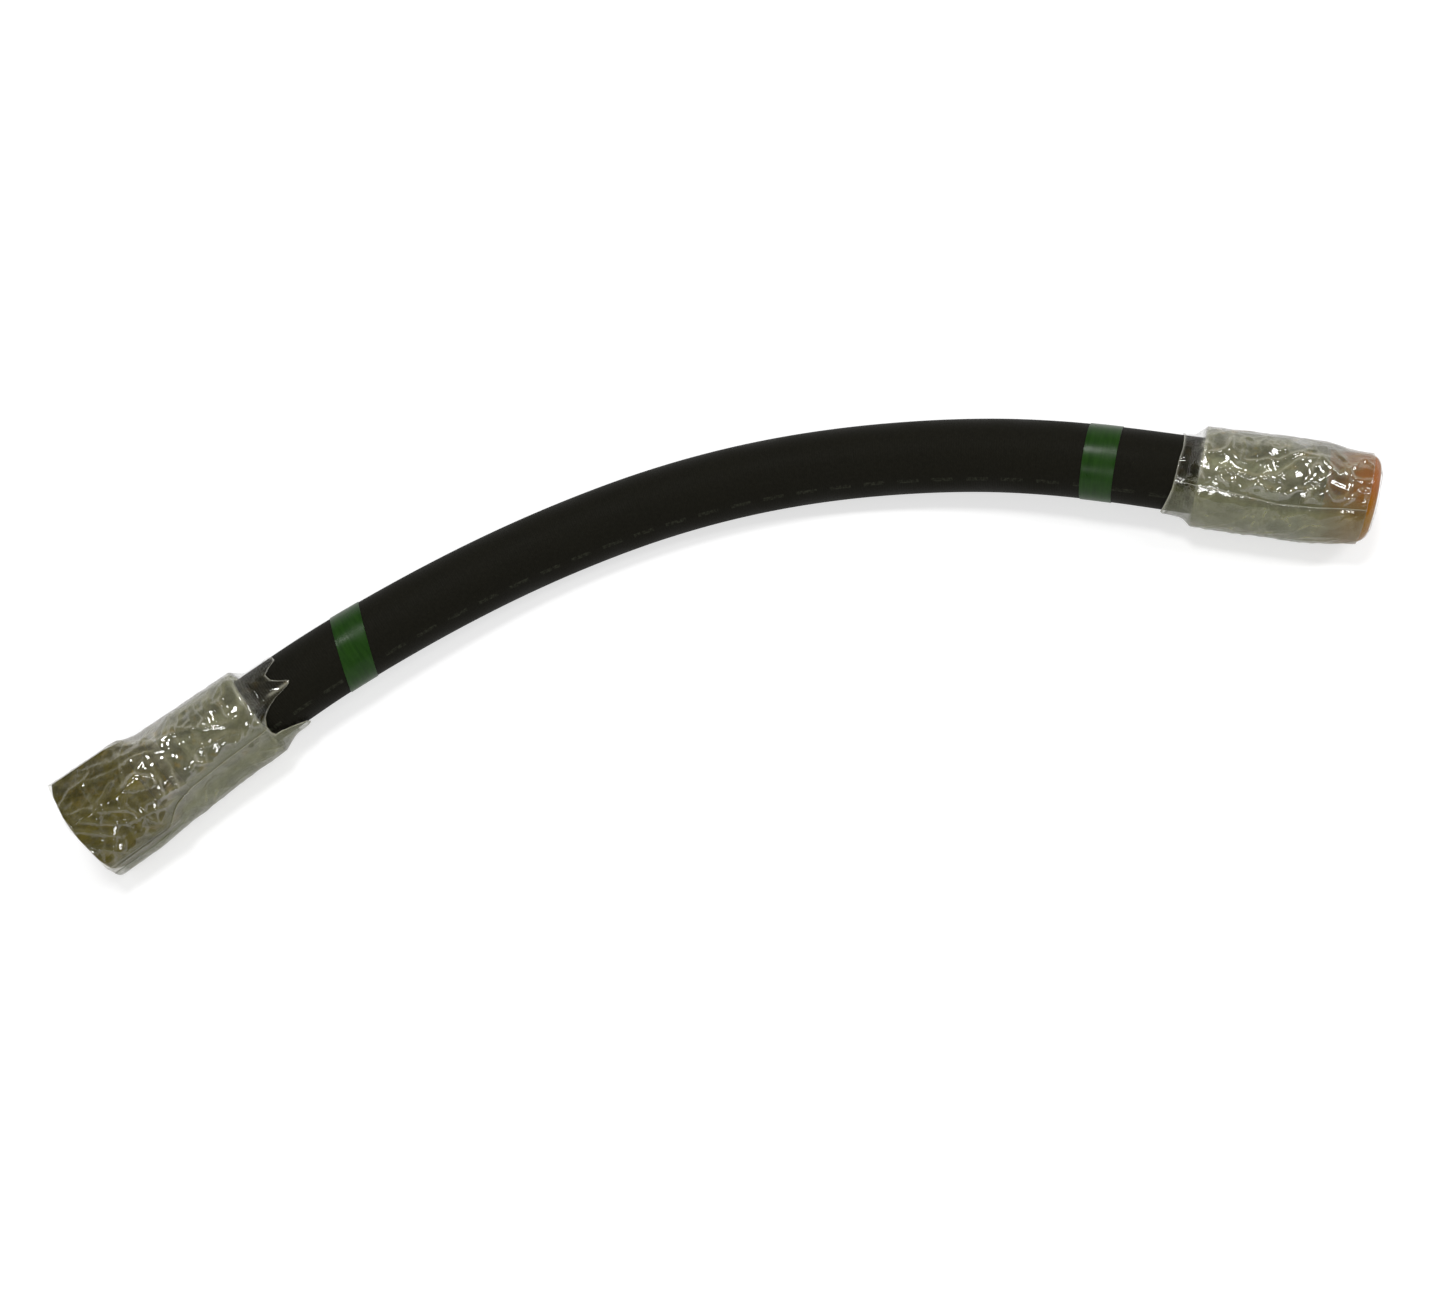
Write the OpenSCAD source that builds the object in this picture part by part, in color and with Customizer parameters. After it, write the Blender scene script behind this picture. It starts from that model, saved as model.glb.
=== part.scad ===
// Hydraulic hose assembly: a short length of one-wire-braid hose, DN12 (1/2 inch), lying in an
// arc. One end has a swivel nut fitting and the other a male stud fitting under a push-on cap.
// Both ends are wrapped in clear film and a band of coloured tape marks the hose near each end.
// The hose lies on Z = 0. +X runs along the chord towards the stud end and +Z is up.

/* [Hose] */
// Outside diameter of the hose
hose_od = 20.4; // [18.5:0.1:21]
// Inside diameter of the hose
hose_id = 12.7; // [12:0.1:13.5]
// Wall of the rubber inner tube
tube_wall = 1.6; // [1.2:0.1:2]
// Thickness of the wire braid
braid_wall = 0.6; // [0.4:0.1:0.8]
// Flat sides round the swept hose
hose_sides = 12; // [8:2:12]

/* [Ferrules] */
// Length of each crimped ferrule
ferrule_len = 25; // [22:0.5:28]
// Wall of each ferrule over the hose
ferrule_wall = 2.55; // [2.2:0.05:3]
// Depth of the flats that the crimping dies leave
die_mark = 0.3; // [0.1:0.05:0.5]
// Thickness of the end flange that locks on the insert
flange_len = 3; // [2:0.25:4]
// Depth of the gripping grooves in the ferrule's bore
grip_depth = 0.5; // [0.2:0.1:0.8]

/* [Inserts] */
// Diameter of the passage through each insert
passage_d = 10; // [8:0.25:10.5]
// Diameter of the neck that the ferrule's flange locks on
neck_d = 13.8; // [13.6:0.1:15]
// Depth of the barb valleys on the tail
barb_depth = 0.45; // [0.2:0.05:0.6]
// Distance between barbs
barb_pitch = 4; // [3:0.5:5]

/* [Swivel nut end] */
// Width of the swivel nut across its flats
nut_af = 27; // [26:0.5:30]
// Length of the nut's hexagon
nut_hex_len = 21; // [20:0.5:23]
// Length of the nut's round collar
nut_collar_len = 5; // [4.5:0.5:7]
// Diameter of the nut's round collar
nut_collar_d = 23; // [22.5:0.5:25]
// Wall diameter of the nut's threaded hole, G 1/2
nut_thread_d = 18.64; // [18.4:0.02:18.9]
// Length of the nut's threaded wall
nut_thread_len = 12; // [10:0.5:13]
// Diameter of the insert's barrel inside the nut
barrel_d = 17; // [16.5:0.1:17.4]
// Wall of the cone nose at its tip
nose_wall = 1.5; // [1.2:0.1:2]
// Radial running clearance between barrel and nut
swivel_gap = 0.1; // [0.05:0.01:0.1]
// Diameter of the thrust wire
wire_d = 1.6; // [1.2:0.1:2]
// Section of the seal ring on the cone
seal_d = 1.8; // [1.4:0.1:2]

/* [Stud end] */
// Width of the stud fitting's hexagon across its flats
stud_af = 22; // [22:0.5:24]
// Thickness of the stud fitting's hexagon
stud_hex_len = 5; // [4:0.5:9]
// Crest diameter of the stud's thread, G 1/2
stud_thread_d = 20.955; // [20.8:0.005:21]
// Root diameter of the stud's thread
stud_root_d = 18.63; // [18.4:0.01:18.8]
// Distance between thread crests, 14 to the inch
thread_pitch = 1.814; // [1.5:0.001:2]
// Length of the stud beyond its hexagon
stud_len = 11; // [10:0.5:15]

/* [Cap] */
// Radial clearance between the cap and the stud's crests
cap_gap = 0.1; // [0.05:0.01:0.1]
// Wall of the cap
cap_wall = 0.75; // [0.6:0.05:1.2]
// Space between the stud's end and the inside of the cap
cap_end_gap = 0.6; // [0.4:0.1:1]
// Radius of the cap's rounded end
cap_round = 3; // [2.5:0.1:3.5]

/* [Tape] */
// Width of each tape band
tape_width = 8.5; // [6:0.5:12]
// Thickness of the tape as wound
tape_thick = 0.2; // [0.1:0.05:0.4]
// Distance of the left band's middle from the ferrule beside it
left_tape_from_ferrule = 31.5; // [29.5:0.5:36]
// Distance of the right band's middle from the ferrule beside it
right_tape_from_ferrule = 25.5; // [25:0.5:36]
// Slant of the band near the swivel nut
tape_slant = 17; // [0:1:20]

/* [Film] */
// Thickness of the clear film as wrapped
film_thick = 0.3; // [0.2:0.05:0.4]
// Clearance under the film where it turns or a piece slides
film_gap = 0.3; // [0.3:0.05:0.5]
// Slack of the film over the fixed ferrule and hexagon
film_slack = 0.35; // [0.3:0.05:0.5]
// Length of film on the hose beyond each ferrule
film_on_hose = 9.5; // [6:0.5:12]
// How far the film runs past the swivel nut's end face
film_past_nut = 0.5; // [0.5:0.25:2]

/* [Hidden] */
$fn = 72;
// How far a cut runs past the face that it opens.
over = 1;
// Half angle of the sealing cones.
cone_half = 30;

// Points that the middle of the hose follows, from the end inside the swivel ferrule to the
// end inside the stud ferrule. The first three and the last three lie on straight lines.
ROUTE = [
    [-146.0, 2.5, 13.8],
    [-126.1, 12.0, 13.8],
    [-107.0, 21.0, 13.8],
    [-88.6, 28.8, 13.1],
    [-68.6, 36.3, 12.0],
    [-48.6, 42.5, 10.9],
    [-28.6, 46.9, 10.3],
    [-8.6, 49.5, 10.2],
    [11.4, 50.3, 10.2],
    [31.4, 49.3, 10.2],
    [51.4, 46.4, 10.3],
    [71.4, 41.5, 10.8],
    [89.4, 35.2, 11.8],
    [105.4, 27.9, 12.8],
    [120.9, 19.7, 13.4],
    [139.3, 9.6, 13.4],
    [157.9, -0.5, 13.4],
];
LAST = len(ROUTE) - 1;
// Every second point carries a ring of the swept hose, about two diameters apart.
RINGS = [for (i = [0:2:LAST]) ROUTE[i]];

function unit(v) = v / norm(v);
function heading(v) = atan2(v.y, v.x);

hose_r = hose_od / 2;
bore_r = hose_id / 2;
flat_share = cos(180 / hose_sides);
bore_corner_r = bore_r / flat_share;
tube_r = bore_r + tube_wall;
braid_r = tube_r + braid_wall;

// The hose ends against the ferrule's flange, so the ferrule's mouth lies back along the hose.
hose_grip = ferrule_len - flange_len;
ferrule_r = hose_r + ferrule_wall;
nut_way = unit(ROUTE[0] - ROUTE[2]);
stud_way = unit(ROUTE[LAST] - ROUTE[LAST - 2]);
nut_mouth = ROUTE[0] - hose_grip * nut_way;
stud_mouth = ROUTE[LAST] - hose_grip * stud_way;

// Stations along each fitting, measured outwards from its ferrule's mouth.
collar_len = 2.5;
nut_back_gap = 0.5;
nut_back = ferrule_len + collar_len + nut_back_gap;
nut_hex_at = nut_back + nut_collar_len;
nut_end = nut_hex_at + nut_hex_len;
nut_chamfer = 1;
thread_at = nut_end - nut_chamfer - nut_thread_len;
relief_len = 2.5;
relief_r = nut_thread_d / 2 + 1.2;
barrel_r = barrel_d / 2;
nut_bore_r = barrel_r + swivel_gap;
nut_corner_r = nut_af / 2 / cos(30);
nut_taper_len = 4.5;
hex_corner_cut = 1.6;
hex_cut_len = 1;
collar_r = barrel_r + 0.1;
flange_r = ferrule_r - 0.75 * ferrule_wall;
nose_gap = 0.5;
nose_tip = thread_at - nose_gap;
cone_len = 3.3;
cone_at = nose_tip - cone_len;
cone_step = 0.3;
cone_base_r = barrel_r - cone_step;
cone_tip_r = cone_base_r - cone_len * tan(cone_half);
nose_bore_r = cone_tip_r - nose_wall;
wire_at = nut_back + nut_collar_len * 0.6;
wire_mid_r = barrel_r + swivel_gap / 2;
groove_gap = 0.05;
seal_from_base = cone_len * 0.45;
seal_sunk = seal_d * 0.32;
seal_at = cone_at + seal_from_base;
seal_r = cone_base_r - seal_from_base * tan(cone_half) - seal_sunk;

end_gap = 0.3;
stud_hex_at = ferrule_len + end_gap;
stud_at = stud_hex_at + stud_hex_len;
stud_end = stud_at + stud_len;
stud_relief = 2;
stud_chamfer = 1.2;
cap_bore_r = stud_thread_d / 2 + cap_gap;
cap_r = cap_bore_r + cap_wall;
cap_at = stud_at + end_gap;
cap_inner_end = stud_end + cap_end_gap;
cap_end_wall = cap_wall * 1.6;
cap_end = cap_inner_end + cap_end_wall;

// Film radii over the ferrule and the hose where it turns with the nut, and the stretches of it
// that step down to the hose and rise to a hexagon.
ferrule_film_r = ferrule_r + film_gap;
loose_hose_r = hose_r + film_gap;
film_step = 3;
film_rise = 3.5;
film_lap = 0.5;
film_nut_end = nut_end + film_past_nut;

// The slanted band leans about a line this far round from straight down.
slant_lean = 40;

// Where a fitting is drawn, local +Z points outwards along its axis.
module on_nut_end() {
    translate(nut_mouth) rotate([0, 0, heading(nut_way)]) rotate([0, 90, 0]) children();
}

module on_stud_end() {
    translate(stud_mouth) rotate([0, 0, heading(stud_way)]) rotate([0, 90, 0]) children();
}

// A straight tube from one station to another.
module ring(outer_r, inner_r, from, to) {
    translate([0, 0, from]) difference() {
        cylinder(r = outer_r, h = to - from);
        translate([0, 0, -over]) cylinder(r = inner_r, h = to - from + 2 * over);
    }
}

// A hexagonal bar with a flat facing down, its corners turned off at both ends, over back_len
// at its hose end.
module hex_bar(across_flats, from, to, back_len) {
    corner_r = across_flats / 2 / cos(30);
    top_r = corner_r - hex_corner_cut;
    intersection() {
        translate([0, 0, from]) rotate([0, 0, 30]) cylinder(r = corner_r, h = to - from, $fn = 6);
        rotate_extrude() polygon([
            [0, from],
            [top_r, from],
            [corner_r, from + back_len],
            [corner_r, to - hex_cut_len],
            [top_r, to],
            [0, to],
        ]);
    }
}

// A round ring of wire or rubber at a station.
module round_ring(middle_r, section_r, at) {
    translate([0, 0, at]) rotate_extrude() translate([middle_r, 0]) circle(r = section_r, $fn = 32);
}

// Points of one ring of the swept hose, square to the way it runs.
function ring_way(i) = unit(RINGS[min(i + 1, len(RINGS) - 1)] - RINGS[max(i - 1, 0)]);
function ring_points(i, r) =
    let (way = ring_way(i), side = unit(cross(way, [0, 0, 1])), top = cross(side, way))
    [for (k = [0:hose_sides - 1]) let (a = 360 * k / hose_sides)
        RINGS[i] + r * (cos(a) * side + sin(a) * top)];

// One hollow layer of the hose, swept along the route.
module hose_layer(outer_r, inner_r) {
    count = len(RINGS);
    inner_at = count * hose_sides;
    points = concat(
        [for (i = [0:count - 1]) each ring_points(i, outer_r)],
        [for (i = [0:count - 1]) each ring_points(i, inner_r)]
    );
    walls = [for (i = [0:count - 2], k = [0:hose_sides - 1])
        let (n = (k + 1) % hose_sides, a = i * hose_sides + k, b = i * hose_sides + n,
             c = a + hose_sides, d = b + hose_sides)
        each [
            [a, b, c],
            [b, d, c],
            [inner_at + a, inner_at + c, inner_at + b],
            [inner_at + b, inner_at + c, inner_at + d],
        ]];
    ends = [for (k = [0:hose_sides - 1])
        let (n = (k + 1) % hose_sides, z = (count - 1) * hose_sides)
        each [
            [k, inner_at + k, n],
            [n, inner_at + k, inner_at + n],
            [z + k, z + n, inner_at + z + k],
            [z + n, inner_at + z + n, inner_at + z + k],
        ]];
    polyhedron(points = points, faces = concat(walls, ends), convexity = 6);
}

// The rubber cover, the wire braid under it and the inner tube share one route.
module hose_cover() {
    color("#23221d") hose_layer(hose_r, braid_r);
}

module wire_braid() {
    color("#b9a25c") hose_layer(braid_r, tube_r);
}

module inner_tube() {
    color("#151515") hose_layer(tube_r, bore_corner_r);
}

// Half outline of the barbed tail, from its tip inside the hose to the ferrule's flange. Each
// barb slopes up from its valley, has a short crest and drops back.
barb_slope = 0.7;
barb_crest = 0.9;
barb_back = 0.95;
barb_count = floor((hose_grip - 2) / barb_pitch);
valley_r = bore_r - barb_depth;
tail_tip = hose_grip - barb_count * barb_pitch - 1;
tail_outline = concat(
    [[0, tail_tip], [valley_r, tail_tip]],
    [for (i = [0:barb_count - 1]) let (z = tail_tip + 1 + i * barb_pitch)
        each [[valley_r, z], [bore_r, z + barb_pitch * barb_slope],
            [bore_r, z + barb_pitch * barb_crest], [valley_r, z + barb_pitch * barb_back]]],
    [[valley_r, hose_grip], [neck_d / 2, hose_grip], [neck_d / 2, ferrule_len]]
);

// Insert of the swivel end: barbed tail, collar, barrel with the wire's groove, and a cone nose.
module left_insert() {
    color("#c9c6a8") on_nut_end() difference() {
        rotate_extrude() polygon(concat(tail_outline, [
            [collar_r, ferrule_len],
            [collar_r, ferrule_len + collar_len],
            [barrel_r, ferrule_len + collar_len],
            [barrel_r, cone_at],
            [cone_base_r, cone_at],
            [cone_tip_r, nose_tip],
            [0, nose_tip],
        ]));
        passage(tail_tip, cone_at - over);
        translate([0, 0, cone_at - over]) cylinder(r = nose_bore_r, h = cone_len + 2 * over);
        round_ring(wire_mid_r, wire_d / 2 + groove_gap, wire_at);
        round_ring(seal_r, seal_d / 2 + groove_gap, seal_at);
    }
}

// The passage through an insert, cut past both of its ends.
module passage(from, to) {
    translate([0, 0, from - over]) cylinder(d = passage_d, h = to - from + 2 * over);
}

// A crimped ferrule: grooved bore over the hose, flats from eight dies and a tapered flange end.
module ferrule() {
    mouth_round = 0.6;
    groove_pitch = 4;
    groove_len = 1.5;
    dies = 8;
    half_die = 180 / dies;
    flats_from = 3;
    flats_to = hose_grip - 3;
    taper_from = hose_grip - 2;
    difference() {
        rotate_extrude() polygon([
            [neck_d / 2, hose_grip],
            [hose_r, hose_grip],
            [hose_r, mouth_round],
            [hose_r + mouth_round, 0],
            [ferrule_r - mouth_round, 0],
            [ferrule_r, mouth_round],
            [ferrule_r, taper_from],
            [flange_r, ferrule_len],
            [neck_d / 2, ferrule_len],
        ]);
        for (z = [groove_pitch:groove_pitch:flats_to])
            ring(hose_r + grip_depth, hose_r - over, z, z + groove_len);
        difference() {
            ring(ferrule_r + over, hose_r + over, flats_from, flats_to);
            translate([0, 0, flats_from - over]) rotate([0, 0, half_die])
                cylinder(r = (ferrule_r - die_mark) / cos(half_die), h = ferrule_len, $fn = dies);
        }
    }
}

module left_ferrule() {
    color("#a4ab98") on_nut_end() ferrule();
}

module right_ferrule() {
    color("#a4ab98") on_stud_end() ferrule();
}

// The nut that turns on the insert's barrel: hexagon, round collar and a plain wall at the
// thread's minor diameter.
module swivel_nut() {
    color("#8f8a38") on_nut_end() difference() {
        union() {
            hex_bar(nut_af, nut_hex_at, nut_end, nut_taper_len);
            translate([0, 0, nut_back]) cylinder(d = nut_collar_d, h = nut_collar_len + over);
        }
        translate([0, 0, nut_back - over]) cylinder(r = nut_bore_r, h = thread_at - nut_back);
        translate([0, 0, thread_at - relief_len]) cylinder(r = relief_r, h = relief_len);
        translate([0, 0, thread_at - over])
            cylinder(d = nut_thread_d, h = nut_end - thread_at + 2 * over);
        translate([0, 0, nut_end - nut_chamfer])
            cylinder(r1 = nut_thread_d / 2, r2 = nut_thread_d / 2 + nut_chamfer, h = nut_chamfer);
        translate([0, 0, nut_end])
            cylinder(r = nut_thread_d / 2 + nut_chamfer, h = over);
        round_ring(wire_mid_r, wire_d / 2 + groove_gap, wire_at);
    }
}

// The wire ring that takes the nut's thrust, half in the nut and half in the barrel.
module thrust_wire() {
    color("#b8b8b8") on_nut_end() round_ring(wire_mid_r, wire_d / 2, wire_at);
}

module nose_seal() {
    color("#1c1c1c") on_nut_end() round_ring(seal_r, seal_d / 2, seal_at);
}

// Insert of the stud end: barbed tail, hexagon and a male stud whose thread is drawn as rings
// of its real pitch and depth, with a cone seat in its mouth.
crest_from = 0.36;
crest_to = 0.52;
root_from = 0.88;
thread_count = floor((stud_len - stud_relief - stud_chamfer) / thread_pitch);
stud_root_r = stud_root_d / 2;
relief_root_r = stud_root_r - 0.2;
stud_outline = concat(
    [[collar_r, ferrule_len], [collar_r, stud_at], [relief_root_r, stud_at],
        [relief_root_r, stud_at + stud_relief]],
    [for (i = [0:thread_count - 1]) let (z = stud_at + stud_relief + i * thread_pitch)
        each [[stud_root_r, z], [stud_thread_d / 2, z + thread_pitch * crest_from],
            [stud_thread_d / 2, z + thread_pitch * crest_to],
            [stud_root_r, z + thread_pitch * root_from]]],
    [[stud_root_r, stud_end - stud_chamfer], [stud_root_r - stud_chamfer, stud_end],
        [0, stud_end]]
);
module stud_fitting() {
    seat_depth = 4.5;
    color("#b7ab5e") on_stud_end() difference() {
        union() {
            rotate_extrude() polygon(concat(tail_outline, stud_outline));
            hex_bar(stud_af, stud_hex_at, stud_at, hex_cut_len);
        }
        passage(tail_tip, stud_end);
        translate([0, 0, stud_end - seat_depth])
            cylinder(r1 = passage_d / 2, r2 = passage_d / 2 + seat_depth * tan(cone_half), h = seat_depth);
    }
}

// Points of a quarter round from angle a0 to a1 about [x, y].
function arc(x, y, r, a0, a1, steps = 6) =
    [for (i = [0:steps]) let (a = a0 + (a1 - a0) * i / steps) [x + r * cos(a), y + r * sin(a)]];

// Push-on protector over the stud, closed by a rounded end.
module thread_cap() {
    inner_round = cap_round - cap_wall;
    color("#e0901f") on_stud_end() rotate_extrude() polygon(concat(
        [[cap_bore_r, cap_at], [cap_r, cap_at]],
        arc(cap_r - cap_round, cap_end - cap_round, cap_round, 0, 90),
        [[0, cap_end], [0, cap_inner_end]],
        arc(cap_bore_r - inner_round, cap_inner_end - inner_round, inner_round, 90, 0)
    ));
}

// A band of tape round the hose on the straight run that leaves ring i, slanted about the
// direction it is looked at from.
module tape_band(i, along, slant) {
    way = unit(RINGS[i + 1] - RINGS[i]);
    reach = 2 * (hose_r + tape_thick);
    translate(RINGS[i] + along * way)
        rotate([0, acos(way.z), heading(way)])
        intersection() {
            ring(hose_r + tape_thick, hose_r, -reach, reach);
            rotate(slant, [cos(slant_lean), sin(slant_lean), 0])
                cube([2 * reach, 2 * reach, tape_width], center = true);
        }
}

module left_tape_band() {
    past_ring = left_tape_from_ferrule - (norm(RINGS[1] - RINGS[0]) - hose_grip);
    color("#2f6b22") tape_band(1, past_ring, tape_slant);
}

module right_tape_band() {
    n = len(RINGS) - 1;
    past_ring = right_tape_from_ferrule - (norm(RINGS[n] - RINGS[n - 1]) - hose_grip);
    color("#2f6b22") tape_band(n - 2, norm(RINGS[n - 1] - RINGS[n - 2]) - past_ring, 0);
}

// Outer form of the film on the swivel end, t outside what it covers. It clings to the nut's
// flats, so it turns with the nut, and is loose over the ferrule and the hose.
module left_film_form(t, extra) {
    rise_at = nut_hex_at - film_rise;
    rotate_extrude() polygon([
        [0, -film_on_hose - extra],
        [loose_hose_r + t, -film_on_hose - extra],
        [loose_hose_r + t, -film_step],
        [ferrule_film_r + t, 0],
        [ferrule_film_r + t, rise_at + film_lap],
        [0, rise_at + film_lap],
    ]);
    intersection() {
        translate([0, 0, rise_at]) rotate([0, 0, 30])
            cylinder(r = (nut_af / 2 + t) / cos(30), h = film_nut_end + extra - rise_at, $fn = 6);
        rotate_extrude() polygon([
            [0, rise_at],
            [ferrule_film_r + t, rise_at],
            [nut_corner_r + t, nut_hex_at],
            [nut_corner_r + t, film_nut_end + extra],
            [0, film_nut_end + extra],
        ]);
    }
}

module left_film() {
    color("#c9d2c4", 0.45) on_nut_end() difference() {
        left_film_form(film_thick, 0);
        left_film_form(0, 1);
    }
}

// Outer form of the film on the stud end, t outside what it covers: tight on the hose, easy
// over the ferrule and the hexagon, and just clear of the cap.
module right_film_form(t, extra) {
    cap_film_r = cap_r + film_gap + t;
    hex_film_r = stud_af / 2 / cos(30) + film_slack + t;
    hex_rise_at = stud_hex_at - 2;
    hex_fall_at = stud_at + 2.5;
    rotate_extrude() polygon([
        [0, -film_on_hose - extra],
        [hose_r + t, -film_on_hose - extra],
        [hose_r + t, -film_step],
        [ferrule_r + film_slack + t, 0],
        [ferrule_r + film_slack + t, hose_grip - film_lap],
        [cap_film_r, ferrule_len + film_lap],
        [cap_film_r, cap_end + extra],
        [0, cap_end + extra],
    ]);
    intersection() {
        translate([0, 0, hose_grip]) rotate([0, 0, 30])
            cylinder(r = (stud_af / 2 + film_slack + t) / cos(30), h = stud_end - hose_grip, $fn = 6);
        rotate_extrude() polygon([
            [0, hex_rise_at],
            [cap_film_r - film_lap, hex_rise_at],
            [hex_film_r, stud_hex_at - end_gap],
            [hex_film_r, stud_at + end_gap],
            [cap_film_r - film_lap, hex_fall_at],
            [0, hex_fall_at],
        ]);
    }
}

module right_film() {
    color("#c9d2c4", 0.45) on_stud_end() difference() {
        right_film_form(film_thick, 0);
        right_film_form(0, 1);
    }
}

hose_cover();
wire_braid();
inner_tube();
left_insert();
left_ferrule();
swivel_nut();
thrust_wire();
nose_seal();
stud_fitting();
right_ferrule();
thread_cap();
left_tape_band();
right_tape_band();
left_film();
right_film();
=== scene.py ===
"""Looks of a short hydraulic hose assembly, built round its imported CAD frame.

The frame lies on Z = 0 with +X along the hose towards the capped stud. A place on a fitting is
given by its station, outwards from the mouth of its ferrule, and by its turn, in degrees from
straight up towards the camera's side. The films, the tapes, the hose's layers and the swivel
nut are modelled here; the other pieces are the frame's own, with a finish.
"""
import math

import bmesh
import bpy
import numpy as np
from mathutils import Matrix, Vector


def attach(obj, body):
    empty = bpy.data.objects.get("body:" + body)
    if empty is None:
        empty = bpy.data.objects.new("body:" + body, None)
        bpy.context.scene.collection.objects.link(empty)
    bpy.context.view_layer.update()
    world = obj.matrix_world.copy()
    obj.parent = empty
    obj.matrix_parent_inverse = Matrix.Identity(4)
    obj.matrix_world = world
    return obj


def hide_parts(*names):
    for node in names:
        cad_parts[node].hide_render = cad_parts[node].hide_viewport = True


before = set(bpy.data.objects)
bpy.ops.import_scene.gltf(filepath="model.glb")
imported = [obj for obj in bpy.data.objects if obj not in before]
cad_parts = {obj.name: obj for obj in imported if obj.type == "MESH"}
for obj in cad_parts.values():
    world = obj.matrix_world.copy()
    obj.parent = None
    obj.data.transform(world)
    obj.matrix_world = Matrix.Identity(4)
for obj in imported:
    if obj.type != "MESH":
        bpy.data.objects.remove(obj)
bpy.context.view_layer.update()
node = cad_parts

MM = 0.001
UP = Vector((0, 0, 1))

# Camera, at the photograph's viewing angle.
CAMERA_PLACE = (0.02488, -0.1995, 0.32298)
CAMERA_TURN = (30.667, 10.184, -10.569)
CAMERA_LENS = 34.16
CAMERA_SENSOR = 36

# Hose: the middle of it runs through these points, from the end inside the swivel ferrule to
# the end inside the stud ferrule.
ROUTE = [Vector(point) * MM for point in [
    (-146.0, 2.5, 13.8),
    (-126.1, 12.0, 13.8),
    (-107.0, 21.0, 13.8),
    (-88.6, 28.8, 13.1),
    (-68.6, 36.3, 12.0),
    (-48.6, 42.5, 10.9),
    (-28.6, 46.9, 10.3),
    (-8.6, 49.5, 10.2),
    (11.4, 50.3, 10.2),
    (31.4, 49.3, 10.2),
    (51.4, 46.4, 10.3),
    (71.4, 41.5, 10.8),
    (89.4, 35.2, 11.8),
    (105.4, 27.9, 12.8),
    (120.9, 19.7, 13.4),
    (139.3, 9.6, 13.4),
    (157.9, -0.5, 13.4),
]]
ROUTE_STEPS = 12
HOSE_R = 10.2 * MM
BRAID_R = 8.55 * MM
TUBE_R = 7.95 * MM
BORE_R = 6.58 * MM
HOSE_GRIP = 22 * MM
HOSE_SIDES = 72
LAYLINE_TURN = 77
# In mm along the hose and across the layline.
LAYLINE_PERIOD = 10.0
LAYLINE_DASH = 6.2
LAYLINE_HALF_WIDTH = 0.6

# Tape bands.
LEFT_TAPE_FROM_FERRULE = 31.5 * MM
RIGHT_TAPE_FROM_FERRULE = 25.5 * MM
TAPE_WIDTH = 8.5 * MM
TAPE_THICK = 0.2 * MM
TAPE_LAP = 12
TAPE_ROWS = 124
TAPE_SLANT = 17
SLANT_LEAN = 40

# Swivel nut, by station from the ferrule's mouth.
NUT_BACK = 28 * MM
NUT_HEX_AT = 33 * MM
NUT_END = 54 * MM
NUT_AF = 27 * MM
NUT_COLLAR_R = 11.5 * MM
NUT_EDGE_CUT = 0.4 * MM
NUT_CORNER_CUT = 1.6 * MM
NUT_TAPER_LEN = 4.5 * MM
NUT_FRONT_CUT_LEN = 1 * MM
NUT_BORE_R = 8.6 * MM
RELIEF_R = 10.52 * MM
RELIEF_LEN = 2.5 * MM
THREAD_R = 9.32 * MM
THREAD_DEPTH = 1.1 * MM
THREAD_PITCH = 1.814 * MM
THREAD_LEN = 12 * MM
THREAD_ROWS = 84
THREAD_RUNOUT = 1.5 * THREAD_PITCH
NUT_MOUTH_CUT = 1 * MM
WIRE_AT = 31 * MM
WIRE_MID_R = 8.55 * MM
WIRE_GROOVE_R = 0.85 * MM
NUT_COLUMNS = 144

# Films, with turns in degrees. A fade is the stretch over which something sets in, in turns
# or stations, and a lap is where the film's free edge lies over its own start.
FILM_THICK = 0.08 * MM
FILM_GRID = 0.4 * MM
FILM_TURNS = 453
FILM_MEAN_R = 13.4 * MM
FREE_EDGE_TURN = 52
FREE_EDGE_WIDTH = 1.6
STRAIGHT_AFTER = 60
OUTER_LAYER_FADE = (93, 133)
OUTER_LAYER_LIFT = 0.15 * MM
LIP_WIDTH = 3
LIP_LIFT = 0.05 * MM
LAP_FADE = (-14, -1)
LAP_HAZE_FADE = (-15, -5)
PAST_LAP_FADE = (0, 4)
TAUT_SIDE = (305, 38)
LAST_STRETCH_FADE = (29 * MM, 36 * MM)
OFF_HOSE_FADE = (-4 * MM, 1 * MM)
PAST_FOLD_FADE = (-7 * MM, -4 * MM)
RIM_WIDTH = 0.7 * MM
FOLD_WIDTH = 2.6
MOUTH_LINE_AT = 0.3 * MM
MOUTH_LINE_WIDTH = 0.45 * MM
MOUTH_LINE_BREAK = 3 * MM
ON_NUT_FADE = (29 * MM, 34.5 * MM)
FILM_ON_NUT_AF = NUT_AF + 0.5 * MM
FILM_ON_NUT_CORNER_R = 15.75 * MM
FLOOR_GAP = 0.05 * MM
CAP_FILM_COLUMNS = 150
CAP_FILM_ROWS = 22
CAP_FILM_MEAN_R = 11.4 * MM
# Station and radius along the film over the cap's rounded edge, in mm.
CAP_FILM_PROFILE = [
    (35.6, 11.47), (39.8, 11.49), (40.6, 11.42), (41.3, 11.2), (42.0, 10.75),
    (42.6, 10.2), (43.05, 9.5), (43.3, 8.7), (43.34, 7.8), (43.34, 6.6),
]

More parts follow.
